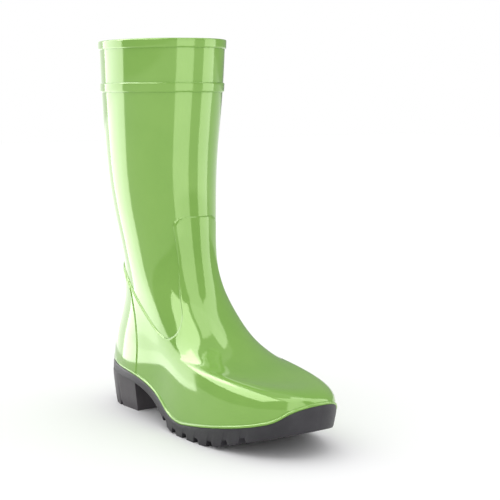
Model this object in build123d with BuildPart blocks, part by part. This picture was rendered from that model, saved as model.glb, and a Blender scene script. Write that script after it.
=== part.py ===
from build123d import *
import os
from collections import namedtuple
from math import cos, exp, hypot, pi

# Rubber rain boot for a right foot, laid up from rubber sheets on a last.
# Millimetres. +Z is up, the toe points along +X and the outer side faces -Y.
# Design lengths run from the back of the heel; HEEL_TO_ORIGIN moves the origin
# to the middle of the floor under the boot.

# ---- driving dimensions ----
BOOT_HEIGHT = 330.0
HEEL_TO_ORIGIN = 133.7
MIDLINE_SHIFT = 1.4
WALL = 2.2
LINING = 1.2
OVERLAY = 1.2
COUNTER = 2.0
BEAD_PROUD = 2.6
BEAD_HEIGHT = 2.8
RIM_BAND_HEIGHT = 8.0
CALF_BAND_TOP = 293.0
CALF_BAND_HEIGHT = 8.5
LINING_TOP_GAP = 6.0
SOCK_SEAM_HEIGHT = 150.0
HEEL_TOP = 31.0
HEEL_BREAST = 65.0
HEEL_ROUND_FROM = 38.0
BALL_BACK, BALL_FRONT = (156, 0), (188, 0)
LUG_HEIGHT = 4.5
LUG_PITCH = 17.0
LUG_GAP = 6.0
FIRST_LUG_GAP = 130.0
LUG_GAPS = 7
HEEL_GROOVE_PITCH = 9.5
HEEL_GROOVE_WIDTH = 3.0
HEEL_GROOVE_DEPTH = 4.0
BOARD = 1.8
FOAM = 4.5
COVER = 0.8
SHANK_THICKNESS = 1.4
SHANK_WIDTH = 14.0
FAR = 400.0

# ---- the boot's outer form ----
# Each level is a tilted cut through the boot: where it meets the back and the
# front in side view, and its half widths to the outer and the inner side.
Level = namedtuple("Level", "back front outer inner")
LEVELS = [
    Level((3, -3), (265.5, -3), 50, 47),
    Level((1, 42), (279, 34), 50, 47),
    Level((2, 54), (279, 45), 48.5, 45),
    Level((3.5, 66), (268, 51), 46, 41),
    Level((7, 78), (244, 53), 43, 37),
    Level((11.5, 91), (214, 58), 40, 34.5),
    Level((15, 104), (183, 69), 37.5, 33.5),
    Level((16.5, 118), (155, 88), 36, 33),
    Level((16.5, 133), (133, 110), 36, 34),
    Level((13, 152), (121.5, 138), 37.5, 36),
    Level((6, 178), (117.5, 172), 41, 39.5),
    Level((-1, 212), (116, 210), 44, 42.5),
    Level((-6, 250), (119, 249), 46, 45),
    Level((-9, 290), (124, 290), 48, 47),
    Level((-12, 332), (127.5, 332), 49, 48),
]
ANKLE_HEIGHT = 150.0
SOLE_LEVEL_HEIGHT = 42.0
LEG_WIDEST, FOOT_WIDEST = 0.51, 0.66
LEG_BACK_ROUND, FOOT_BACK_ROUND = 2.1, 2.5
LEG_FRONT_ROUND, FOOT_FRONT_ROUND = 2.0, 2.2
OUTER_WAIST, INNER_WAIST = 5.0, 9.0
WAIST_PLACE, WAIST_SPREAD, WAIST_FADE = 0.40, 0.13, 2.5
SECTION_POINTS = 28
OUTER_SIDE, INNER_SIDE = -1, 1


def origin_x(x):
    return x - HEEL_TO_ORIGIN


def profile_normal(index, side):
    """Unit side-view normal of the back or front profile, pointing outward."""
    before = getattr(LEVELS[max(index - 1, 0)], side)
    after = getattr(LEVELS[min(index + 1, len(LEVELS) - 1)], side)
    run = after[0] - before[0]
    rise = after[1] - before[1]
    length = hypot(run, rise)
    sign = -1 if side == "back" else 1
    return sign * rise / length, -sign * run / length


def grown_point(index, side, grow):
    x, z = getattr(LEVELS[index], side)
    normal_x, normal_z = profile_normal(index, side)
    return origin_x(x + grow * normal_x), z + grow * normal_z


def between(leg_value, foot_value, foot):
    return leg_value + (foot_value - leg_value) * foot


def section_points(level, length, grow):
    """Closed outline of one level, from its back point round to its back point."""
    foot = (ANKLE_HEIGHT - level.back[1]) / (ANKLE_HEIGHT - SOLE_LEVEL_HEIGHT)
    foot = min(max(foot, 0.0), 1.0)
    widest = between(LEG_WIDEST, FOOT_WIDEST, foot)
    points = []
    for step in range(SECTION_POINTS):
        turn = 2 * pi * step / SECTION_POINTS
        share = (1 - cos(turn)) / 2
        if share < widest:
            roundness = between(LEG_BACK_ROUND, FOOT_BACK_ROUND, foot)
            reach = (widest - share) / widest
        else:
            roundness = between(LEG_FRONT_ROUND, FOOT_FRONT_ROUND, foot)
            reach = (share - widest) / (1 - widest)
        spread = max(1 - reach**roundness, 0.0) ** (1 / roundness)
        waist = foot**WAIST_FADE * exp(-(((share - WAIST_PLACE) / WAIST_SPREAD) ** 2))
        if turn <= pi:
            across = -(level.outer + grow - OUTER_WAIST * waist) * spread
        else:
            across = (level.inner + grow - INNER_WAIST * waist) * spread
        points.append((length * share, across + MIDLINE_SHIFT))
    return points


def boot_form(grow):
    """The whole boot's outer form as one solid, its surface moved out by grow."""
    with BuildPart() as form:
        for index, level in enumerate(LEVELS):
            back_x, back_z = grown_point(index, "back", grow)
            front_x, front_z = grown_point(index, "front", grow)
            run = front_x - back_x
            rise = front_z - back_z
            cut = Plane(origin=(back_x, 0, back_z), x_dir=(run, 0, rise), z_dir=(-rise, 0, run))
            with BuildSketch(cut):
                with BuildLine():
                    Spline(*section_points(level, hypot(run, rise), grow), periodic=True)
                make_face()
        loft(ruled=True, clean=False)
    return form.part


# ---- lines of the side view, each drawn inside a BuildLine ----
def arc_chain(first, points, lift):
    """Arcs through the points, each one tangent to the piece before it."""
    last = first
    for x, z in points:
        last = TangentArc(last @ 1, (origin_x(x), z + lift), tangent=last % 1)
    return last


def side_line(start, end, lift=0.0):
    return Line((origin_x(start[0]), start[1] + lift), (origin_x(end[0]), end[1] + lift))


def feather_line(lift):
    """Where the upper meets the sole: level over the heel, down the waist to the
    ball, and up again round the toe bumper."""
    heel = side_line((-20, 41), (62, 38), lift)
    rest = [(112, 28), (131, 19), (168, 11.5), (235, 22.5), (256, 28), (268, 35), (292, 47)]
    return heel @ 0, arc_chain(heel, rest, lift) @ 1


def underside_line(lift):
    """The sole's lowest line: flat over the heel block, arched at the waist, flat
    under the ball and sprung up to the toe."""
    heel = side_line((-20, HEEL_TOP), (HEEL_BREAST, HEEL_TOP), lift)
    arc_chain(heel, [(104, 23.5), (127, 10), BALL_BACK], lift)
    ball = side_line(BALL_BACK, BALL_FRONT, lift)
    return heel @ 0, arc_chain(ball, [(212, 3.2), (292, 27)], lift) @ 1


def region_over(line, lift=0.0):
    """Everything above a side-view line, right across the boot."""
    with BuildPart() as region:
        with BuildSketch(Plane.XZ):
            with BuildLine():
                start, end = line(lift)
                Polyline(end, (FAR, end.Y), (FAR, FAR), (-FAR, FAR), (-FAR, start.Y), start)
            make_face()
        extrude(amount=FAR, both=True)
    return region.part


def layer(low, high):
    """The space between two regions, the second lying inside the first."""
    with BuildPart() as space:
        add(low)
        add(high, mode=Mode.SUBTRACT)
    return space.part


# ---- shared forms ----
outer_form = boot_form(0)
overlay_form = boot_form(OVERLAY)
counter_form = boot_form(COUNTER)
bead_form = boot_form(BEAD_PROUD)
cavity_form = boot_form(-WALL)
foot_form = boot_form(-WALL - LINING)

over_feather = region_over(feather_line)
over_bead = region_over(feather_line, BEAD_HEIGHT)
over_wall = region_over(feather_line, WALL)
over_lining = region_over(feather_line, WALL + LINING)
over_board = region_over(feather_line, WALL + LINING + BOARD)
over_foam = region_over(feather_line, WALL + LINING + BOARD + FOAM)
over_cover = region_over(feather_line, WALL + LINING + BOARD + FOAM + COVER)


def height_slab(low, high):
    with BuildPart() as slab:
        with BuildSketch(Plane.XY.offset(low)):
            Rectangle(2 * FAR, 2 * FAR)
        extrude(amount=high - low)
    return slab.part


below_rim = height_slab(-FAR, BOOT_HEIGHT)


# ---- upper ----
with BuildPart() as upper_shell:
    add(outer_form)
    add(cavity_form, mode=Mode.SUBTRACT)
    add(over_feather, mode=Mode.INTERSECT)
    add(below_rim, mode=Mode.INTERSECT)
upper_shell.part.label = "upper_shell"


def band(low, high):
    """A flat rubber strip laid round the outside of the leg."""
    with BuildPart() as strip:
        add(overlay_form)
        add(height_slab(low, high), mode=Mode.INTERSECT)
        add(outer_form, mode=Mode.SUBTRACT)
    return strip.part


top_rim_band = band(BOOT_HEIGHT - RIM_BAND_HEIGHT, BOOT_HEIGHT)
top_rim_band.label = "top_rim_band"
calf_band = band(CALF_BAND_TOP - CALF_BAND_HEIGHT, CALF_BAND_TOP)
calf_band.label = "calf_band"


# ---- overlay and counter ----
def overlay_region():
    """Side view of the second rubber layer: a strip down the shin, a deep U on
    each side of the ankle and everything below it."""
    with BuildPart() as region:
        with BuildSketch(Plane.XZ):
            with BuildLine():
                top = side_line((FAR, 178), (117, 178))
                u_and_heel = [
                    (109, 169), (116, 126), (128, 99), (133.2, 86), (130.5, 78.8),
                    (119, 76), (97, 84.7), (65, 104.5), (0, 149), (-40, 165),
                ]
                end = arc_chain(top, u_and_heel, 0) @ 1
                Polyline(end, (-FAR, end.Y), (-FAR, -FAR), (FAR, -FAR), top @ 0)
            make_face()
        extrude(amount=FAR, both=True)
    return region.part


COUNTER_CEILING = 165.0


def heel_region():
    """Side view of the space behind the counter's front edge."""
    with BuildPart() as region:
        with BuildSketch(Plane.XZ):
            with BuildLine():
                top, middle, bottom = (origin_x(42), 135), (origin_x(72), 80), (origin_x(83), 20)
                ThreePointArc(top, middle, bottom)
                Polyline(
                    bottom, (-FAR, bottom[1]), (-FAR, COUNTER_CEILING), (top[0], COUNTER_CEILING), top
                )
            make_face()
        extrude(amount=FAR, both=True)
    return region.part


second_layer = overlay_region() & over_bead
behind_counter_edge = heel_region()

with BuildPart() as ankle_overlay:
    add(overlay_form)
    add(outer_form, mode=Mode.SUBTRACT)
    add(second_layer - behind_counter_edge, mode=Mode.INTERSECT)
ankle_overlay.part.label = "ankle_overlay"

with BuildPart() as heel_counter:
    add(counter_form)
    add(outer_form, mode=Mode.SUBTRACT)
    add(second_layer & behind_counter_edge, mode=Mode.INTERSECT)
heel_counter.part.label = "heel_counter"


def bead_half(side):
    """One half of the bead, from the middle of the heel to the middle of the toe."""
    with BuildPart() as half:
        add(bead_form)
        add(outer_form, mode=Mode.SUBTRACT)
        with Locations((0, side * FAR / 2, 0)):
            Box(FAR, FAR, FAR, mode=Mode.INTERSECT)
        add(over_feather, mode=Mode.INTERSECT)
        add(over_bead, mode=Mode.SUBTRACT)
    return half.part


with BuildPart() as welt_bead:
    add(bead_half(OUTER_SIDE))
    add(bead_half(INNER_SIDE))
welt_bead.part.label = "welt_bead"


# ---- sole ----
def tread_gaps():
    """Chevron gaps between the forefoot lugs, cut up to the sole plate."""
    with BuildPart() as gaps:
        with BuildSketch():
            for number in range(LUG_GAPS):
                with BuildLine():
                    x = origin_x(FIRST_LUG_GAP + LUG_PITCH * number)
                    Polyline((x, -FAR / 4), (x + LUG_PITCH / 2, MIDLINE_SHIFT), (x, FAR / 4))
                trace(line_width=LUG_GAP)
        extrude(amount=FAR / 4, both=True)
        add(region_over(underside_line, LUG_HEIGHT), mode=Mode.SUBTRACT)
    return gaps.part


SHANK_BACK, SHANK_FRONT, SHANK_DEPTH = 38.0, 118.0, 3.2

with BuildPart() as shank:
    with BuildSketch(Plane.XY):
        with Locations((origin_x((SHANK_BACK + SHANK_FRONT) / 2), MIDLINE_SHIFT)):
            RectangleRounded(SHANK_FRONT - SHANK_BACK, SHANK_WIDTH, SHANK_WIDTH / 2 - 1)
    extrude(amount=FAR / 4)
    add(region_over(feather_line, -SHANK_DEPTH - SHANK_THICKNESS), mode=Mode.INTERSECT)
    add(region_over(feather_line, -SHANK_DEPTH), mode=Mode.SUBTRACT)
shank.part.label = "shank"

with BuildPart() as outsole:
    add(counter_form)
    add(layer(region_over(underside_line), over_feather), mode=Mode.INTERSECT)
    add(tread_gaps(), mode=Mode.SUBTRACT)
    add(shank.part, mode=Mode.SUBTRACT)
outsole.part.label = "outsole"


def heel_outline(height, back, half_width):
    """D-shaped section of the heel block, round behind and straight in front."""
    rear_radius = HEEL_ROUND_FROM - back
    centre = (origin_x(HEEL_ROUND_FROM), MIDLINE_SHIFT / 2)
    with BuildSketch(Plane.XY.offset(height)) as outline:
        with BuildLine():
            rear = EllipticalCenterArc(centre, rear_radius, half_width, start_angle=90, arc_size=180)
            breast = origin_x(HEEL_BREAST)
            Polyline(rear @ 1, (breast, (rear @ 1).Y), (breast, (rear @ 0).Y), rear @ 0)
        make_face()
    return outline.sketch


CORE_FLOOR, CORE_LENGTH, CORE_WIDTH = 8.0, 38.0, 40.0
CORE_MIDDLE = 37.0

with BuildPart() as heel_core:
    with BuildSketch(Plane.XY.offset(CORE_FLOOR)):
        with Locations((origin_x(CORE_MIDDLE), MIDLINE_SHIFT / 2)):
            RectangleRounded(CORE_LENGTH, CORE_WIDTH, CORE_LENGTH / 4)
    extrude(amount=HEEL_TOP - CORE_FLOOR)
heel_core.part.label = "heel_core"

with BuildPart() as heel_block:
    floor_outline = heel_outline(0, back=6, half_width=32.5)
    top_outline = heel_outline(HEEL_TOP, back=2.5, half_width=36)
    loft(sections=[floor_outline, top_outline])
    with BuildSketch(Plane.XY):
        with GridLocations(HEEL_GROOVE_PITCH, 0, 2, 1):
            with Locations((origin_x(HEEL_BREAST / 2), 0)):
                Rectangle(HEEL_GROOVE_WIDTH, FAR)
    extrude(amount=HEEL_GROOVE_DEPTH, mode=Mode.SUBTRACT)
    add(heel_core.part, mode=Mode.SUBTRACT)
heel_block.part.label = "heel_block"


# ---- inside the boot ----
with BuildPart() as lining_leg:
    add(cavity_form)
    add(foot_form, mode=Mode.SUBTRACT)
    add(height_slab(SOCK_SEAM_HEIGHT, BOOT_HEIGHT - LINING_TOP_GAP), mode=Mode.INTERSECT)
lining_leg.part.label = "lining_leg"

with BuildPart() as lining_foot:
    add(cavity_form)
    add(foot_form, mode=Mode.SUBTRACT)
    add(over_wall & height_slab(-FAR, SOCK_SEAM_HEIGHT), mode=Mode.INTERSECT)
lining_foot.part.label = "lining_foot"


def foot_layer(form, low, high, name):
    """A sheet that fills the foot from wall to wall between two regions."""
    with BuildPart() as sheet:
        add(form)
        add(low, mode=Mode.INTERSECT)
        add(high, mode=Mode.SUBTRACT)
    sheet.part.label = name
    return sheet.part


bottom_filler = foot_layer(cavity_form, over_feather, over_wall, "bottom_filler")
lining_sole = foot_layer(foot_form, over_wall, over_lining, "lining_sole")
insole_board = foot_layer(foot_form, over_lining, over_board, "insole_board")
footbed = foot_layer(foot_form, over_board, over_foam, "footbed")
footbed_cover = foot_layer(foot_form, over_foam, over_cover, "footbed_cover")


# ---- export ----
os.makedirs("parts", exist_ok=True)
pieces = [
    upper_shell.part, top_rim_band, calf_band, ankle_overlay.part, heel_counter.part,
    welt_bead.part, outsole.part, heel_block.part, heel_core.part, shank.part,
    bottom_filler, lining_sole, insole_board, lining_leg.part, lining_foot.part,
    footbed, footbed_cover,
]
for piece in pieces:
    export_step(piece, f"parts/{piece.label}.step")
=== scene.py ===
from math import atan2, cos, pi, radians, sin

import bpy
import numpy as np
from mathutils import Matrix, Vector

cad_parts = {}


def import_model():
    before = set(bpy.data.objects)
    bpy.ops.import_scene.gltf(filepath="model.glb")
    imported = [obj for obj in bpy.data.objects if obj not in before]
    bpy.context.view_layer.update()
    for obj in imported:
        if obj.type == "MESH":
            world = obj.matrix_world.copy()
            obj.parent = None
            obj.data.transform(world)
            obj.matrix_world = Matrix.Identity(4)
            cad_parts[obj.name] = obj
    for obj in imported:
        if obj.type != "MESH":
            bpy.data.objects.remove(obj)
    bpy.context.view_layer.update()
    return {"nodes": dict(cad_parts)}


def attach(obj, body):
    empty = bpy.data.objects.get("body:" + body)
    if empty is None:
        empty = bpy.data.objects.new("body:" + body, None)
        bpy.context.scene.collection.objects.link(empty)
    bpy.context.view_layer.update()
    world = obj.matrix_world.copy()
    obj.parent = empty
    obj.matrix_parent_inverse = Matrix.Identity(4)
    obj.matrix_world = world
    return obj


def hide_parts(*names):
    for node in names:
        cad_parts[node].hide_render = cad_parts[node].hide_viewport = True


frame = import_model()
MM = 0.001

# ---- driving dimensions, in millimetres, as the frame was designed ----
BOOT_HEIGHT = 330.0
HEEL_TO_ORIGIN = 133.7
MIDDLE_OF_SOLE = 140.0
MIDLINE_SHIFT = 1.4
WALL = 2.2
LINING = 1.2
OVERLAY = 1.2
COUNTER = 2.0
BAND = 1.2
SOLE_PROUD = 2.0
BEAD_PROUD = 2.6
BEAD_HEIGHT = 2.8
RIM_BAND_HEIGHT = 8.0
CALF_BAND_TOP = 293.0
CALF_BAND_HEIGHT = 8.5
LINING_TOP_GAP = 6.0
SOCK_SEAM_HEIGHT = 150.0
HEEL_TOP = 31.0
HEEL_BREAST = 65.0
HEEL_ROUND_FROM = 38.0
HEEL_BACK_LOW, HEEL_BACK_TOP = 6.0, 2.5
HEEL_HALF_LOW, HEEL_HALF_TOP = 32.5, 36.0
HEEL_LAST_REACH = 0.9995  # under 1, so that the rearmost row keeps a width
BOARD = 1.8
FOAM = 4.5
COVER = 0.8
SHEET_EDGE_DROP = 0.8
LUG_HEIGHT = 4.5
LUG_PITCH = 17.0
LUG_GAP = 6.0
FIRST_LUG_GAP = 130.0
LUG_GAPS = 7
HEEL_GROOVE_PITCH = 9.5
HEEL_GROOVE_WIDTH = 3.0
HEEL_GROOVE_DEPTH = 4.0
GROOVE_SOFTNESS = 0.8
CHEVRON_RUN = 100.0  # this far from the midline, a lug gap has fallen back half a pitch
LUG_SOFTNESS = 1.0
OVERLAY_TOP, OVERLAY_BACK_TOP = 178.0, 165.0
OVERLAY_HIDDEN_RISE = 5.0  # how far its hidden part reaches above its top edge
COUNTER_REACH = 0.285  # share of the boot's length that the counter covers
SPUR_HEIGHT = 22.0
SPUR_SPREAD = 0.6  # radians round the form, to each side of the back
SPUR_THIN, SPUR_FLARE, SPUR_CURVE = 0.3, 3.0, 2.2  # its thickness at the top and its growth
SPUR_LENGTH = 20.0  # about its length down the form
FAR = 400.0  # well beyond the boot

# How far a piece laid on another starts under its surface, and the clearances.
TUCK = 0.5
OVERLAY_DIP, OVERLAY_BACKING = 0.6, 0.6
BEAD_TUCK = 0.2
LINING_GAP = 0.05
FOAM_GAP, COVER_GAP = 0.6, 0.5

# Rounded edges: their radii, and how much of a piece is left at the very edge.
BAND_EDGE = 0.9
RIM_EDGE = 0.8
OVERLAY_EDGE_RADIUS = 1.4
OVERLAY_EDGE_START = 0.5  # its rise begins this far outside its edge line
COUNTER_EDGE = 1.2
LINING_EDGE = 0.5
SPUR_EDGE = 1.6
WALL_EDGE = 0.25  # share of a sole's wall taken by its rounding at each end
LAST_THICKNESS = 0.15  # share of a sheet's thickness left at its very edge
COUNTER_LAST_THICKNESS = 0.1

SHARP_ANGLE = radians(40)

# How many rows and columns of points the grids have.
ROUND_COLUMNS = 360
LEG_ROWS, BAND_ROWS, LINING_ROWS, BEAD_ROWS = 120, 14, 60, 18
OVERLAY_FINE_ROWS, OVERLAY_COARSE_ROWS = 105, 25
OVERLAY_FINE_SHARE = 0.72  # the overlay's edge lies in the fine rows
COUNTER_ROWS, COUNTER_COLUMNS = 70, 140
SOLE_ROWS, SOLE_COLUMNS, SOLE_WALL_ROWS = 430, 90, 8
HEEL_ROWS, HEEL_COLUMNS, HEEL_WALL_ROWS = 160, 60, 6
SHEET_ROWS, SHEET_COLUMNS, SHEET_WALL_ROWS = 200, 40, 5
END_TURN = 0.03  # where a sole's two sides stop short of the back and the front

# Each level is a tilted cut through the boot: where it meets the back and the
# front in side view (x from the heel, z), and its outer and inner half widths.
LEVELS = np.array([
    (3, -3, 265.5, -3, 50, 47),
    (1, 42, 279, 34, 50, 47),
    (2, 54, 279, 45, 48.5, 45),
    (3.5, 66, 268, 51, 46, 41),
    (7, 78, 244, 53, 43, 37),
    (11.5, 91, 214, 58, 40, 34.5),
    (15, 104, 183, 69, 37.5, 33.5),
    (16.5, 118, 155, 88, 36, 33),
    (16.5, 133, 133, 110, 36, 34),
    (13, 152, 121.5, 138, 37.5, 36),
    (6, 178, 117.5, 172, 41, 39.5),
    (-1, 212, 116, 210, 44, 42.5),
    (-6, 250, 119, 249, 46, 45),
    (-9, 290, 124, 290, 48, 47),
    (-12, 332, 127.5, 332, 49, 48),
])
ANKLE_HEIGHT, SOLE_LEVEL_HEIGHT = 150.0, 42.0
LEG_WIDEST, FOOT_WIDEST = 0.51, 0.66
LEG_BACK_ROUND, FOOT_BACK_ROUND = 2.1, 2.5
LEG_FRONT_ROUND, FOOT_FRONT_ROUND = 2.0, 2.2
OUTER_WAIST, INNER_WAIST = 5.0, 9.0
WAIST_PLACE, WAIST_SPREAD, WAIST_FADE = 0.40, 0.13, 2.5


# ---- the boot's surface ----
def natural_spline(knots, values):
    """Second derivatives of a natural cubic spline through rows of values."""
    count = len(knots)
    gaps = np.diff(knots)
    matrix = np.eye(count)
    right = np.zeros_like(values)
    for k in range(1, count - 1):
        matrix[k, k - 1:k + 2] = gaps[k - 1], 2 * (gaps[k - 1] + gaps[k]), gaps[k]
        slope_after = (values[k + 1] - values[k]) / gaps[k]
        slope_before = (values[k] - values[k - 1]) / gaps[k - 1]
        right[k] = 6 * (slope_after - slope_before)
    return np.linalg.solve(matrix, right)


LEVEL_STEPS = np.linalg.norm(np.diff(LEVELS[:, :4], axis=0), axis=1)
KNOTS = np.concatenate([[0], np.cumsum(LEVEL_STEPS)]) / LEVEL_STEPS.sum()
BENDS = natural_spline(KNOTS, LEVELS)


def level_at(height):
    """Level values at any place from the floor, 0, to the rim, 1."""
    k = np.clip(np.searchsorted(KNOTS, height) - 1, 0, len(KNOTS) - 2)
    gap = KNOTS[k + 1] - KNOTS[k]
    a = ((KNOTS[k + 1] - height) / gap)[..., None]
    b = 1 - a
    curved = (a**3 - a) * BENDS[k] + (b**3 - b) * BENDS[k + 1]
    return a * LEVELS[k] + b * LEVELS[k + 1] + curved * gap[..., None]**2 / 6


def surface(height, turn):
    """Points on the boot's outer form. turn is 0 at the back, pi at the front and
    passes the outer side first."""
    height, turn = np.broadcast_arrays(height, turn)
    back_x, back_z, front_x, front_z, outer, inner = np.moveaxis(level_at(height), -1, 0)
    foot = np.clip((ANKLE_HEIGHT - back_z) / (ANKLE_HEIGHT - SOLE_LEVEL_HEIGHT), 0, 1)
    share = (1 - np.cos(turn)) / 2
    widest = LEG_WIDEST + (FOOT_WIDEST - LEG_WIDEST) * foot
    behind = share < widest
    back_round = LEG_BACK_ROUND + (FOOT_BACK_ROUND - LEG_BACK_ROUND) * foot
    front_round = LEG_FRONT_ROUND + (FOOT_FRONT_ROUND - LEG_FRONT_ROUND) * foot
    roundness = np.where(behind, back_round, front_round)
    reach = np.where(behind, (widest - share) / widest, (share - widest) / (1 - widest))
    spread = np.maximum(1 - np.clip(reach, 0, 1)**roundness, 0)**(1 / roundness)
    waist = foot**WAIST_FADE * np.exp(-(((share - WAIST_PLACE) / WAIST_SPREAD)**2))
    on_outer = np.mod(turn, 2 * pi) <= pi
    half = np.where(on_outer, -(outer - OUTER_WAIST * waist), inner - INNER_WAIST * waist)
    x = back_x + (front_x - back_x) * share - HEEL_TO_ORIGIN
    y = half * spread + MIDLINE_SHIFT
    z = back_z + (front_z - back_z) * share
    return np.stack([x, y, z], axis=-1)


def normals(height, turn):
    """Outward unit normals of the outer form."""
    step_h, step_t = 0.002, 0.01
    along = surface(np.clip(height + step_h, 0, 1), turn) - surface(np.clip(height - step_h, 0, 1), turn)
    around = surface(height, turn + step_t) - surface(height, turn - step_t)
    normal = np.cross(around, along)
    return normal / np.maximum(np.linalg.norm(normal, axis=-1, keepdims=True), 1e-9)


# ---- lines of the side view ----
def arc_chain(points, heading, steps=12):
    """A side-view line of arcs through the points, each tangent to the one before."""
    line = [np.array(points[0], float)]
    for start, end in zip(points, points[1:]):
        chord = np.array(end, float) - np.array(start, float)
        half_turn = atan2(chord[1], chord[0]) - heading
        half_turn = (half_turn + pi) % (2 * pi) - pi
        radius = np.hypot(*chord) / (2 * sin(half_turn)) if abs(half_turn) > 1e-6 else None
        for step in range(1, steps + 1):
            part = step / steps
            if radius is None:
                line.append(np.array(start) + chord * part)
                continue
            angle = heading + 2 * half_turn * part
            move = radius * np.array([sin(angle) - sin(heading), cos(heading) - cos(angle)])
            line.append(np.array(start) + move)
        heading += 2 * half_turn
    return np.array(line)


FEATHER = arc_chain(
    [(-20, 41), (62, 38), (112, 28), (131, 19), (168, 11.5), (235, 22.5), (256, 28), (268, 35), (292, 47)],
    atan2(-3, 82),
)
UNDERSIDE = np.vstack([
    arc_chain([(-20, HEEL_TOP), (HEEL_BREAST, HEEL_TOP), (104, 23.5), (127, 10), (156, 0)], 0),
    arc_chain([(188, 0), (212, 3.2), (292, 27)], 0),
])
OVERLAY_EDGE = arc_chain(
    [(FAR, OVERLAY_TOP), (117, OVERLAY_TOP), (109, 169), (116, 126), (128, 99), (133.2, 86),
     (130.5, 78.8), (119, 76), (97, 84.7), (65, 104.5), (0, 149), (-40, OVERLAY_BACK_TOP)],
    pi, steps=24,
)


def feather_z(x):
    """Height of the line where the upper meets the sole."""
    return np.interp(x + HEEL_TO_ORIGIN, FEATHER[:, 0], FEATHER[:, 1])


def underside_z(x):
    """Height of the outsole's underside, on its lugs."""
    return np.interp(x + HEEL_TO_ORIGIN, UNDERSIDE[:, 0], UNDERSIDE[:, 1])


def under_overlay_edge(x, z):
    """Whether side-view points lie in the overlay, by counting edge crossings."""
    beyond = [(-FAR, OVERLAY_BACK_TOP), (-FAR, -FAR), (FAR, -FAR)]
    outline = np.vstack([OVERLAY_EDGE, beyond])
    x = x + HEEL_TO_ORIGIN
    inside = np.zeros(np.shape(x), bool)
    for start, end in zip(outline, np.roll(outline, -1, axis=0)):
        crosses = (start[1] > z) != (end[1] > z)
        if start[1] == end[1]:
            continue
        at = start[0] + (z - start[1]) / (end[1] - start[1]) * (end[0] - start[0])
        inside ^= crosses & (x < at)
    return inside


def first_height(turn, inside, samples=401, halvings=18):
    """Going down each column, the place where the surface first comes inside, or
    the lowest place if it never does."""
    steps = np.linspace(1, 0, samples)
    points = surface(steps[:, None], turn[None, :])
    hits = inside(points[..., 0], points[..., 2])
    first = np.where(hits.any(axis=0), np.argmax(hits, axis=0), len(steps) - 1)
    low = steps[first]
    high = steps[np.maximum(first - 1, 0)]
    for _ in range(halvings):
        middle = (low + high) / 2
        point = surface(middle, turn)
        hit = inside(point[..., 0], point[..., 2])
        low = np.where(hit, middle, low)
        high = np.where(hit, high, middle)
    return (low + high) / 2


def height_line(turn, z_of_x):
    """The places on the surface where it meets a line of the side view."""
    return first_height(turn, lambda x, z: z <= z_of_x(x))


def flat(z):
    """A side-view line at one height."""
    return lambda x: np.full(np.shape(x), z)


# ---- mesh making ----
def make_object(name, points, faces):
    """A smooth-shaded piece of points in millimetres, sharp at its hard edges."""
    mesh = bpy.data.meshes.new(name)
    mesh.from_pydata([tuple(p) for p in np.asarray(points) * MM], [], [tuple(f) for f in faces])
    mesh.validate()
    mesh.update()
    piece = bpy.data.objects.new(name, mesh)
    bpy.context.scene.collection.objects.link(piece)
    mesh.polygons.foreach_set("use_smooth", [True] * len(mesh.polygons))
    mesh.set_sharp_from_angle(angle=SHARP_ANGLE)
    return piece


def grid_faces(rows, columns, offset, closed, flip):
    """Quads of a grid of points, stored row by row from offset."""
    faces = []
    for i in range(rows - 1):
        for j in range(columns if closed else columns - 1):
            k = (j + 1) % columns
            quad = [offset + i * columns + j, offset + (i + 1) * columns + j]
            quad += [offset + (i + 1) * columns + k, offset + i * columns + k]
            faces.append(quad[::-1] if flip else quad)
    return faces


def closed_sheet(name, outside, inside, closed_round):
    """A thin closed piece between two grids of points with the same layout."""
    rows, columns = outside.shape[:2]
    points = np.vstack([outside.reshape(-1, 3), inside.reshape(-1, 3)])
    below = rows * columns
    faces = grid_faces(rows, columns, 0, closed_round, False)
    faces += grid_faces(rows, columns, below, closed_round, True)
    for i, flip in ((0, False), (rows - 1, True)):
        for j in range(columns if closed_round else columns - 1):
            k = (j + 1) % columns
            quad = [i * columns + j, i * columns + k, below + i * columns + k, below + i * columns + j]
            faces.append(quad[::-1] if flip else quad)
    if not closed_round:
        for j, flip in ((0, True), (columns - 1, False)):
            for i in range(rows - 1):
                quad = [i * columns + j, (i + 1) * columns + j]
                quad += [below + (i + 1) * columns + j, below + i * columns + j]
                faces.append(quad if flip else quad[::-1])
    return make_object(name, points, faces)


def edge_crowded(rows, crowd=3.0):
    """Row places from 0 to 1, closer together towards both ends."""
    even = np.linspace(-1, 1, rows)
    return (np.tanh(crowd * even) / np.tanh(crowd) + 1) / 2


def distance_to(points, line, closed=True):
    """Distance of every grid point to the nearest segment of a line."""
    best = np.full(points.shape[:-1], np.inf)
    ends = np.roll(line, -1, axis=0) if closed else line[1:]
    for start, end in zip(line, ends):
        step = end - start
        length = max(step @ step, 1e-9)
        part = np.clip(((points - start) @ step) / length, 0, 1)
        gap = points - start - part[..., None] * step
        best = np.minimum(best, np.einsum("...i,...i", gap, gap))
    return np.sqrt(best)


def rounded(distance, radius):
    """Rise of a rounded edge, from 0 at the edge to 1 past its radius."""
    return np.sqrt(np.maximum(1 - (1 - np.clip(distance / radius, 0, 1))**2, 0))


ROUND = np.linspace(0, 2 * pi, ROUND_COLUMNS, endpoint=False)


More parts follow.
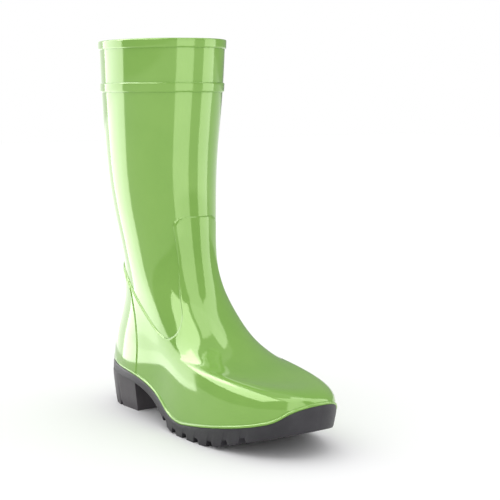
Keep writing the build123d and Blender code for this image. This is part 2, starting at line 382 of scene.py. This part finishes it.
def wrapped_piece(name, top, bottom, rows, high, low, round_top=0, round_bottom=0):
    """A sheet laid round the whole form between two height lines. high and low
    are its faces' heights over the form; its outer edges are rounded off."""
    places = edge_crowded(rows)[:, None]
    height = top[None, :] + (bottom - top)[None, :] * places
    turn = np.broadcast_to(ROUND, height.shape)
    base = surface(height, turn)
    normal = normals(height, turn)
    rise = np.ones(height.shape)
    if round_top:
        rise *= rounded(distance_to(base, base[0]), round_top)
    if round_bottom:
        rise *= rounded(distance_to(base, base[-1]), round_bottom)
    thickness = (high - low) * (LAST_THICKNESS + (1 - LAST_THICKNESS) * rise)
    outside = base + normal * (low + thickness)[..., None]
    inside = base + normal * low
    return closed_sheet(name, outside, inside, True)


# ---- the upper's pieces ----
rim_line = height_line(ROUND, flat(BOOT_HEIGHT))
feather_line = height_line(ROUND, feather_z)


def leg_band(name, z_top, band_height):
    """A raised band round the leg."""
    top = height_line(ROUND, flat(z_top))
    bottom = height_line(ROUND, flat(z_top - band_height))
    return wrapped_piece(name, top, bottom, BAND_ROWS, BAND, -TUCK, BAND_EDGE, BAND_EDGE)


def boot_leg():
    """The first layer of rubber, from the rim to the feather line."""
    return wrapped_piece("leg_and_vamp", rim_line, feather_line, LEG_ROWS, 0, -WALL, RIM_EDGE)


def edge_distance(x, z):
    """Side-view distance to the overlay's edge, positive on the overlay."""
    place = np.stack([x + HEEL_TO_ORIGIN, z], axis=-1)
    distance = distance_to(place, OVERLAY_EDGE, closed=False)
    return np.where(under_overlay_edge(x, z), distance, -distance)


def foot_overlay():
    """The second layer. Outside its own outline it dips under the first layer's
    surface, so its visible edge is the rounded line where it comes out."""
    top = height_line(ROUND, flat(OVERLAY_TOP + OVERLAY_HIDDEN_RISE))
    fine_rows = np.linspace(0, OVERLAY_FINE_SHARE, OVERLAY_FINE_ROWS)
    coarse_rows = np.linspace(OVERLAY_FINE_SHARE, 1, OVERLAY_COARSE_ROWS + 1)[1:]
    places = np.concatenate([fine_rows, coarse_rows])[:, None]
    height = top + (feather_line - top) * places
    turn = np.broadcast_to(ROUND, height.shape)
    base = surface(height, turn)
    normal = normals(height, turn)
    past_edge = edge_distance(base[..., 0], base[..., 2]) + OVERLAY_EDGE_START
    rise = rounded(past_edge, OVERLAY_EDGE_RADIUS)
    proud = (OVERLAY + OVERLAY_DIP) * rise - OVERLAY_DIP
    outside = base + normal * proud[..., None]
    inside = base - normal * (OVERLAY_DIP + OVERLAY_BACKING)
    return closed_sheet("ankle_and_foot_overlay", outside, inside, True)


def counter():
    """The stiff heel piece, thicker than the overlay, from side to side."""
    widest_turn = np.arccos(1 - 2 * COUNTER_REACH)
    turn_line = widest_turn * np.sin(np.linspace(-1, 1, COUNTER_COLUMNS) * pi / 2)
    top = first_height(turn_line, under_overlay_edge)
    bottom = height_line(turn_line, feather_z)
    places = edge_crowded(COUNTER_ROWS)[:, None]
    height = top + (bottom - top) * places
    turn = np.broadcast_to(turn_line, height.shape)
    base = surface(height, turn)
    normal = normals(height, turn)
    rim = np.vstack([base[0], base[1:, -1], base[-1, ::-1], base[:0:-1, 0]])
    rise = rounded(distance_to(base, rim), COUNTER_EDGE)
    start = OVERLAY - TUCK
    thickness = (COUNTER - start) * (COUNTER_LAST_THICKNESS + (1 - COUNTER_LAST_THICKNESS) * rise)
    outside = base + normal * (start + thickness)[..., None]
    inside = base + normal * start
    return closed_sheet("heel_counter_piece", outside, inside, False)


def bead():
    """The round bead over the sole's edge, with a kick-off spur at the heel."""
    near_heel = np.exp(-((np.minimum(ROUND, 2 * pi - ROUND) / SPUR_SPREAD)**4))
    spur_top = height_line(ROUND, lambda x: feather_z(x) + SPUR_HEIGHT)
    plain_top = height_line(ROUND, lambda x: feather_z(x) + BEAD_HEIGHT)
    top = plain_top + (spur_top - plain_top) * near_heel
    bottom = height_line(ROUND, lambda x: feather_z(x) - BEAD_TUCK)
    places = edge_crowded(BEAD_ROWS, crowd=1.6)[:, None]
    height = top + (bottom - top) * places
    turn = np.broadcast_to(ROUND, height.shape)
    dome = np.sqrt(np.maximum(1 - (2 * places - 1)**2, 0)) * BEAD_PROUD
    flare = SPUR_THIN + SPUR_FLARE * places**SPUR_CURVE
    flare = flare * rounded((1 - places) * SPUR_LENGTH, SPUR_EDGE)
    proud = dome * (1 - near_heel) + flare * near_heel
    base = surface(height, turn)
    normal = normals(height, turn)
    return closed_sheet("welt_bead_piece", base + normal * proud[..., None], base - normal * TUCK, True)


# ---- soles ----
def block_between(name, bottom, top, wall_rows, bulge=0.0):
    """A closed block between two grids of points, walls joining their borders."""
    rows, columns = bottom.shape[:2]
    loop = [(i, 0) for i in range(rows)]
    loop += [(rows - 1, j) for j in range(1, columns)]
    loop += [(i, columns - 1) for i in range(rows - 2, -1, -1)]
    loop += [(0, j) for j in range(columns - 2, 0, -1)]
    count = rows * columns
    faces = grid_faces(rows, columns, 0, False, False)
    faces += grid_faces(rows, columns, count, False, True)
    low = np.array([bottom[i, j] for i, j in loop])
    high = np.array([top[i, j] for i, j in loop])
    middle = low.mean(axis=0)
    away = low - middle
    away[:, 2] = 0
    away /= np.maximum(np.linalg.norm(away, axis=1, keepdims=True), 1e-9)
    places = np.linspace(0, 1, wall_rows + 2)[1:-1]
    walls = [low + (high - low) * p + away * bulge * rounded(min(p, 1 - p), WALL_EDGE) for p in places]
    points = np.vstack([bottom.reshape(-1, 3), top.reshape(-1, 3)] + walls)
    rings = [[i * columns + j for i, j in loop]]
    rings += [[2 * count + w * len(loop) + k for k in range(len(loop))] for w in range(wall_rows)]
    rings += [[count + i * columns + j for i, j in loop]]
    for ring, following in zip(rings, rings[1:]):
        for k in range(len(loop)):
            m = (k + 1) % len(loop)
            faces.append((ring[m], ring[k], following[k], following[m]))
    return make_object(name, points, faces)


def across(left, right, count):
    """Rows of points between two lines."""
    part = np.linspace(0, 1, count)[None, :, None]
    return left[:, None, :] * (1 - part) + right[:, None, :] * part


def side_lines(count, lines, out):
    """The form's points on each of the side-view lines, moved out from the form,
    for its outer side and then its inner side."""
    turn = np.linspace(END_TURN, pi - END_TURN, count)
    sides = []
    for way in (turn, 2 * pi - turn):
        heights = [height_line(way, line) for line in lines]
        sides.append([surface(height, way) + normals(height, way) * out for height in heights])
    return sides


def tread_gap(x, y):
    """1 in the chevron gaps between the forefoot lugs, 0 on the lugs."""
    bend = LUG_PITCH / 2 * (1 - np.abs(y - MIDLINE_SHIFT) / CHEVRON_RUN)
    along = x + HEEL_TO_ORIGIN - FIRST_LUG_GAP - bend
    number = np.round(along / LUG_PITCH)
    offset = np.abs(along - number * LUG_PITCH)
    in_gap = np.clip((LUG_GAP / 2 + LUG_SOFTNESS / 2 - offset) / LUG_SOFTNESS, 0, 1)
    return in_gap * (number >= 0) * (number < LUG_GAPS)


def sole():
    """The outsole with its lugs and toe bumper."""
    outer, inner = side_lines(SOLE_ROWS, (underside_z, feather_z), SOLE_PROUD)
    bottom = across(outer[0], inner[0], SOLE_COLUMNS)
    bottom[..., 2] = underside_z(bottom[..., 0])
    bottom[..., 2] += LUG_HEIGHT * tread_gap(bottom[..., 0], bottom[..., 1])
    top = across(outer[1], inner[1], SOLE_COLUMNS)
    return block_between("outsole_piece", bottom, top, SOLE_WALL_ROWS, bulge=0.5)


def heel():
    """The heel block: D-shaped, narrower at the floor, with grooves under it."""
    along_block = (1 + np.cos(np.linspace(pi, 0, HEEL_ROWS))) / 2

    def outline(back, half_width, z):
        place = back + along_block * (HEEL_BREAST - back)
        reach = np.clip((HEEL_ROUND_FROM - place) / (HEEL_ROUND_FROM - back), 0, HEEL_LAST_REACH)
        half = half_width * np.sqrt(1 - reach**2)
        side = np.stack([place - HEEL_TO_ORIGIN, -half, np.full(HEEL_ROWS, z)], axis=1)
        shift = np.array([0, MIDLINE_SHIFT / 2, 0])
        return side + shift, side * np.array([1, -1, 1]) + shift

    low_left, low_right = outline(HEEL_BACK_LOW, HEEL_HALF_LOW, 0)
    top_left, top_right = outline(HEEL_BACK_TOP, HEEL_HALF_TOP, HEEL_TOP)
    bottom = across(low_left, low_right, HEEL_COLUMNS)
    along = bottom[..., 0] + HEEL_TO_ORIGIN - HEEL_BREAST / 2
    offset = np.abs(np.abs(along) - HEEL_GROOVE_PITCH / 2)
    groove = np.clip((HEEL_GROOVE_WIDTH / 2 + GROOVE_SOFTNESS / 2 - offset) / GROOVE_SOFTNESS, 0, 1)
    bottom[..., 2] += HEEL_GROOVE_DEPTH * groove
    top = across(top_left, top_right, HEEL_COLUMNS)
    return block_between("heel_block_piece", bottom, top, HEEL_WALL_ROWS, bulge=0.4)


# ---- lining ----
def lining_piece(name, top_line, bottom_line):
    """Knitted lining inside the first layer, between two side-view lines."""
    top = height_line(ROUND, top_line)
    bottom = height_line(ROUND, bottom_line)
    return wrapped_piece(name, top, bottom, LINING_ROWS, -WALL - LINING_GAP, -WALL - LINING, LINING_EDGE)


def foot_sheet(name, low, high, gap):
    """A sheet lying in the foot, between two heights over the feather line."""
    lines = (lambda x: feather_z(x) + low, lambda x: feather_z(x) + high)
    outer, inner = side_lines(SHEET_ROWS, lines, -(WALL + LINING + gap))
    bottom = across(outer[0], inner[0], SHEET_COLUMNS)
    top = across(outer[1], inner[1], SHEET_COLUMNS)
    for layer, lift in ((bottom, low), (top, high)):
        layer[..., 2] = feather_z(layer[..., 0]) + lift
    middle = np.linspace(-1, 1, SHEET_COLUMNS)[None, :]
    top[..., 2] -= SHEET_EDGE_DROP * middle**8
    return block_between(name, bottom, top, SHEET_WALL_ROWS, bulge=0.2)


# ---- materials ----
GREEN_LOW, GREEN_HIGH = (0.212, 0.412, 0.083), (0.236, 0.440, 0.094)
GLOSS_TINT = (0.80, 1.0, 0.55, 1)


def grey(value):
    return (value, value, value)


def node_material(name):
    """A new node material, with what it takes to build on its shader."""
    material = bpy.data.materials.new(name)
    material.use_nodes = True
    nodes = material.node_tree.nodes
    return material, nodes, material.node_tree.links, nodes["Principled BSDF"]


def set_inputs(shader, **values):
    """Sets a shader's inputs, named with underscores for spaces."""
    for key, value in values.items():
        shader.inputs[key.replace("_", " ")].default_value = value


def noise(nodes, links, scale, detail):
    """A noise texture in the piece's own coordinates."""
    coordinates = nodes.new("ShaderNodeTexCoord")
    texture = nodes.new("ShaderNodeTexNoise")
    texture.inputs["Scale"].default_value = scale
    texture.inputs["Detail"].default_value = detail
    links.new(coordinates.outputs["Object"], texture.inputs["Vector"])
    return texture


def ramp(nodes, links, source, low, high, start=0.35, end=0.65):
    """Two colours blended by a value."""
    colours = nodes.new("ShaderNodeValToRGB")
    colours.color_ramp.elements[0].position = start
    colours.color_ramp.elements[0].color = (*low, 1)
    colours.color_ramp.elements[1].position = end
    colours.color_ramp.elements[1].color = (*high, 1)
    links.new(source, colours.inputs["Fac"])
    return colours


def bump(nodes, links, source, shader, strength, distance):
    """Fine relief from a value."""
    relief = nodes.new("ShaderNodeBump")
    relief.inputs["Strength"].default_value = strength
    relief.inputs["Distance"].default_value = distance
    links.new(source, relief.inputs["Height"])
    links.new(relief.outputs["Normal"], shader.inputs["Normal"])


def green_rubber():
    """Glossy green rubber: faint cloudiness, a soft waviness and dust-fine grain."""
    material, nodes, links, shader = node_material("green_rubber")
    cloud = noise(nodes, links, scale=18, detail=4)
    tint = ramp(nodes, links, cloud.outputs["Fac"], GREEN_LOW, GREEN_HIGH)
    links.new(tint.outputs["Color"], shader.inputs["Base Color"])
    grain = noise(nodes, links, scale=900, detail=2)
    gloss = ramp(nodes, links, grain.outputs["Fac"], grey(0.07), grey(0.11))
    links.new(gloss.outputs["Color"], shader.inputs["Roughness"])
    wave = noise(nodes, links, scale=32, detail=1)
    bump(nodes, links, wave.outputs["Fac"], shader, strength=0.05, distance=0.004)
    set_inputs(shader, IOR=1.62, Specular_Tint=GLOSS_TINT, Coat_Weight=0.08, Coat_Roughness=0.05)
    return material


def black_rubber(name, low, high):
    """Satin rubber with a fine moulded grain."""
    material, nodes, links, shader = node_material(name)
    cloud = noise(nodes, links, scale=60, detail=4)
    tint = ramp(nodes, links, cloud.outputs["Fac"], low, high)
    links.new(tint.outputs["Color"], shader.inputs["Base Color"])
    grain = noise(nodes, links, scale=1400, detail=3)
    gloss = ramp(nodes, links, grain.outputs["Fac"], grey(0.40), grey(0.55))
    links.new(gloss.outputs["Color"], shader.inputs["Roughness"])
    bump(nodes, links, grain.outputs["Fac"], shader, strength=0.25, distance=0.0003)
    set_inputs(shader, IOR=1.5)
    return material


def knit(name, low, high, scale):
    """Knitted cloth: two crossed waves of fine ribs, fuzzed a little."""
    material, nodes, links, shader = node_material(name)
    coordinates = nodes.new("ShaderNodeTexCoord")
    weave = nodes.new("ShaderNodeMath")
    weave.operation = "MULTIPLY"
    for place, direction in enumerate(("Z", "DIAGONAL")):
        ribs = nodes.new("ShaderNodeTexWave")
        ribs.bands_direction = direction
        ribs.inputs["Scale"].default_value = scale
        ribs.inputs["Distortion"].default_value = 1.2
        links.new(coordinates.outputs["Object"], ribs.inputs["Vector"])
        links.new(ribs.outputs["Fac"], weave.inputs[place])
    tint = ramp(nodes, links, weave.outputs["Value"], low, high, start=0.05, end=0.7)
    links.new(tint.outputs["Color"], shader.inputs["Base Color"])
    bump(nodes, links, weave.outputs["Value"], shader, strength=0.6, distance=0.0006)
    set_inputs(shader, Roughness=0.9, Sheen_Weight=0.35, Sheen_Roughness=0.5)
    return material


def speckled(name, low, high, scale, roughness, metallic=0.0):
    """A plain stuff with a fine mottle in colour and relief."""
    material, nodes, links, shader = node_material(name)
    speck = noise(nodes, links, scale, detail=4)
    tint = ramp(nodes, links, speck.outputs["Fac"], low, high)
    links.new(tint.outputs["Color"], shader.inputs["Base Color"])
    bump(nodes, links, speck.outputs["Fac"], shader, strength=0.3, distance=0.0003)
    set_inputs(shader, Roughness=roughness, Metallic=metallic)
    return material


GREEN = green_rubber()
SOLE_BLACK = black_rubber("sole_rubber", (0.016, 0.0145, 0.019), (0.028, 0.026, 0.032))
HEEL_GREY = black_rubber("heel_rubber", (0.060, 0.054, 0.060), (0.085, 0.077, 0.084))
KNIT = knit("lining_knit", (0.42, 0.42, 0.40), (0.70, 0.70, 0.67), scale=220)


def finish_piece(piece, material, slot, *nodes):
    """Dresses a piece, hangs it on the root body and hides the CAD nodes it stands for."""
    piece.data.materials.clear()
    piece.data.materials.append(material)
    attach(piece, "root")
    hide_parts(*nodes)


finish_piece(boot_leg(), GREEN, "green_rubber", "upper_shell")
rim_band = leg_band("rim_band", BOOT_HEIGHT, RIM_BAND_HEIGHT)
finish_piece(rim_band, GREEN, "green_rubber", "top_rim_band")
calf_band = leg_band("calf_band_piece", CALF_BAND_TOP, CALF_BAND_HEIGHT)
finish_piece(calf_band, GREEN, "green_rubber", "calf_band")
finish_piece(foot_overlay(), GREEN, "green_rubber", "ankle_overlay")
finish_piece(counter(), GREEN, "green_rubber", "heel_counter")
finish_piece(bead(), GREEN, "green_rubber", "welt_bead")
finish_piece(sole(), SOLE_BLACK, "black_rubber", "outsole")
finish_piece(heel(), HEEL_GREY, "black_rubber", "heel_block")
leg_knit = lining_piece("leg_lining_knit", flat(BOOT_HEIGHT - LINING_TOP_GAP), flat(SOCK_SEAM_HEIGHT))
finish_piece(leg_knit, KNIT, "lining_knit", "lining_leg")
foot_knit = lining_piece("foot_lining_knit", flat(SOCK_SEAM_HEIGHT), lambda x: feather_z(x) + WALL)
finish_piece(foot_knit, KNIT, "lining_knit", "lining_foot")

foam_low = WALL + LINING + BOARD
cover_low = foam_low + FOAM
foam = speckled("footbed_foam", (0.16, 0.17, 0.18), (0.26, 0.27, 0.28), scale=500, roughness=0.85)
felt = knit("cover_felt", grey(0.34), grey(0.50), scale=300)
bed = foot_sheet("foam_footbed", foam_low, cover_low, FOAM_GAP)
finish_piece(bed, foam, "footbed_foam", "footbed")
cover = foot_sheet("footbed_felt", cover_low, cover_low + COVER, COVER_GAP)
finish_piece(cover, felt, "cover_fabric", "footbed_cover")

# The hidden CAD nodes keep their shapes and only get a material.
inner_looks = {
    "heel_core": speckled(
        "core_plastic", (0.22, 0.22, 0.23), (0.32, 0.32, 0.33), scale=120, roughness=0.6
    ),
    "shank": speckled(
        "shank_steel", (0.42, 0.42, 0.44), (0.55, 0.55, 0.57), scale=300, roughness=0.35, metallic=1.0
    ),
    "bottom_filler": speckled("filler_rubber", grey(0.10), grey(0.18), scale=200, roughness=0.8),
    "insole_board": speckled(
        "fibre_board", (0.40, 0.32, 0.22), (0.52, 0.43, 0.31), scale=260, roughness=0.85
    ),
    "lining_sole": KNIT,
}
for node, material in inner_looks.items():
    frame["nodes"][node].data.materials.clear()
    frame["nodes"][node].data.materials.append(material)


# ---- floor, light and camera, in metres ----
FLOOR_SIZE = 6.0
ARCH_DISTANCE, ARCH_HEIGHT = 0.8, 1.2
ROOF_DISTANCE, ROOF_DEPTH = 0.45, 0.7
LIGHT_BEARING = radians(-35.1)  # towards the camera, from the +X axis
LOOK_AT = Vector((0.0, 0.0, 0.15))
CAMERA_DISTANCE, CAMERA_HEIGHT = 1.0554, 0.280
CAMERA_BEARING, CAMERA_PITCH, CAMERA_YAW = radians(54.91), radians(6.98), radians(-1.60)
CAMERA_LENS, CAMERA_SENSOR = 89.6, 36.0  # in millimetres, as Blender takes them


def floor_plane():
    """A pale matte floor under the boot."""
    low, high = -FLOOR_SIZE, FLOOR_SIZE
    corners = [(low, low, 0), (high, low, 0), (high, high, 0), (low, high, 0)]
    mesh = bpy.data.meshes.new("floor")
    mesh.from_pydata(corners, [], [(0, 1, 2, 3)])
    floor = bpy.data.objects.new("floor", mesh)
    bpy.context.scene.collection.objects.link(floor)
    material, nodes, links, shader = node_material("pale_floor")
    set_inputs(shader, Base_Color=(0.93, 0.93, 0.935, 1), Roughness=0.6, IOR=1.0)
    mesh.materials.append(material)


def reflector(name, place, aim, width, height, radiance):
    """A soft light that only the gloss mirrors; the even light comes from the world."""
    data = bpy.data.lights.new(name, "AREA")
    data.shape = "RECTANGLE"
    data.size = width
    data.size_y = height
    data.energy = radiance * pi * width * height
    light = bpy.data.objects.new(name, data)
    bpy.context.scene.collection.objects.link(light)
    light.location = place
    light.rotation_euler = (aim - place).to_track_quat("-Z", "Y").to_euler()
    light.visible_camera = False
    light.visible_diffuse = False


def studio_place(bearing, distance, height):
    """A place round the boot, its bearing counted from the camera's."""
    angle = LIGHT_BEARING + radians(bearing)
    return Vector((distance * cos(angle), distance * sin(angle), height))


def upright(name, bearing, distance, width, height, radiance):
    """A tall light standing on the floor, facing the boot."""
    place = studio_place(bearing, distance, height / 2)
    reflector(name, place, Vector((0, 0, height / 2)), width, height, radiance)


def arch(name, bearing, width, radiance):
    """A tall light with a roof over the boot at its top."""
    upright(name, bearing, ARCH_DISTANCE, width, ARCH_HEIGHT, radiance)
    roof_name = name + "_roof"
    roof = studio_place(bearing, ROOF_DISTANCE, ARCH_HEIGHT)
    reflector(roof_name, roof, roof - Vector((0, 0, 1)), width, ROOF_DEPTH, radiance)
    turn = LIGHT_BEARING + radians(bearing) + pi / 2
    bpy.data.objects[roof_name].rotation_euler = (0, 0, turn)


def lights():
    """The reflectors round the boot, and a soft sun for the shadow on the floor."""
    arch("strip_front", bearing=13, width=0.62, radiance=3.0)
    arch("strip_right", bearing=84, width=0.58, radiance=3.4)
    upright("wall_left", bearing=-117, distance=0.45, width=0.26, height=0.8, radiance=4.2)
    upright("wall_behind", bearing=-156, distance=0.45, width=0.42, height=0.8, radiance=1.1)
    overhead = studio_place(bearing=-80, distance=0.7, height=0.9)
    reflector("overhead_left", overhead, LOOK_AT, width=1.2, height=0.8, radiance=6.0)
    data = bpy.data.lights.new("ceiling", "SUN")
    data.energy = 0.5
    data.angle = radians(70)
    ceiling = bpy.data.objects.new("ceiling", data)
    ceiling.rotation_euler = (radians(12), radians(-14), 0)
    bpy.context.scene.collection.objects.link(ceiling)


def world():
    """A white studio; what the gloss mirrors is its dimmer room."""
    studio = bpy.data.worlds.new("studio")
    bpy.context.scene.world = studio
    studio.use_nodes = True
    nodes = studio.node_tree.nodes
    links = studio.node_tree.links
    path = nodes.new("ShaderNodeLightPath")
    white = nodes["Background"]
    white.inputs["Color"].default_value = (1.0, 1.0, 1.0, 1)
    room = nodes.new("ShaderNodeBackground")
    room.inputs["Color"].default_value = (0.30, 0.30, 0.31, 1)
    mix = nodes.new("ShaderNodeMixShader")
    links.new(path.outputs["Is Glossy Ray"], mix.inputs["Fac"])
    links.new(white.outputs["Background"], mix.inputs[1])
    links.new(room.outputs["Background"], mix.inputs[2])
    links.new(mix.outputs["Shader"], nodes["World Output"].inputs["Surface"])


def camera():
    """Stands about a metre off the boot's outer front, a little below its rim, and
    looks slightly down."""
    data = bpy.data.cameras.new("camera")
    data.sensor_width = CAMERA_SENSOR
    data.lens = CAMERA_LENS
    eye = bpy.data.objects.new("camera", data)
    bpy.context.scene.collection.objects.link(eye)
    reference = Vector(((MIDDLE_OF_SOLE - HEEL_TO_ORIGIN) * MM, MIDLINE_SHIFT * MM, 0))
    outward = Vector((sin(CAMERA_BEARING), -cos(CAMERA_BEARING), 0))
    eye.location = reference + CAMERA_DISTANCE * outward + Vector((0, 0, CAMERA_HEIGHT))
    turn = CAMERA_BEARING + CAMERA_YAW
    level = cos(CAMERA_PITCH)
    look = Vector((-sin(turn) * level, cos(turn) * level, -sin(CAMERA_PITCH)))
    eye.rotation_euler = look.to_track_quat("-Z", "Y").to_euler()
    bpy.context.scene.camera = eye


floor_plane()
lights()
world()
camera()
bpy.context.scene.view_settings.view_transform = "Standard"
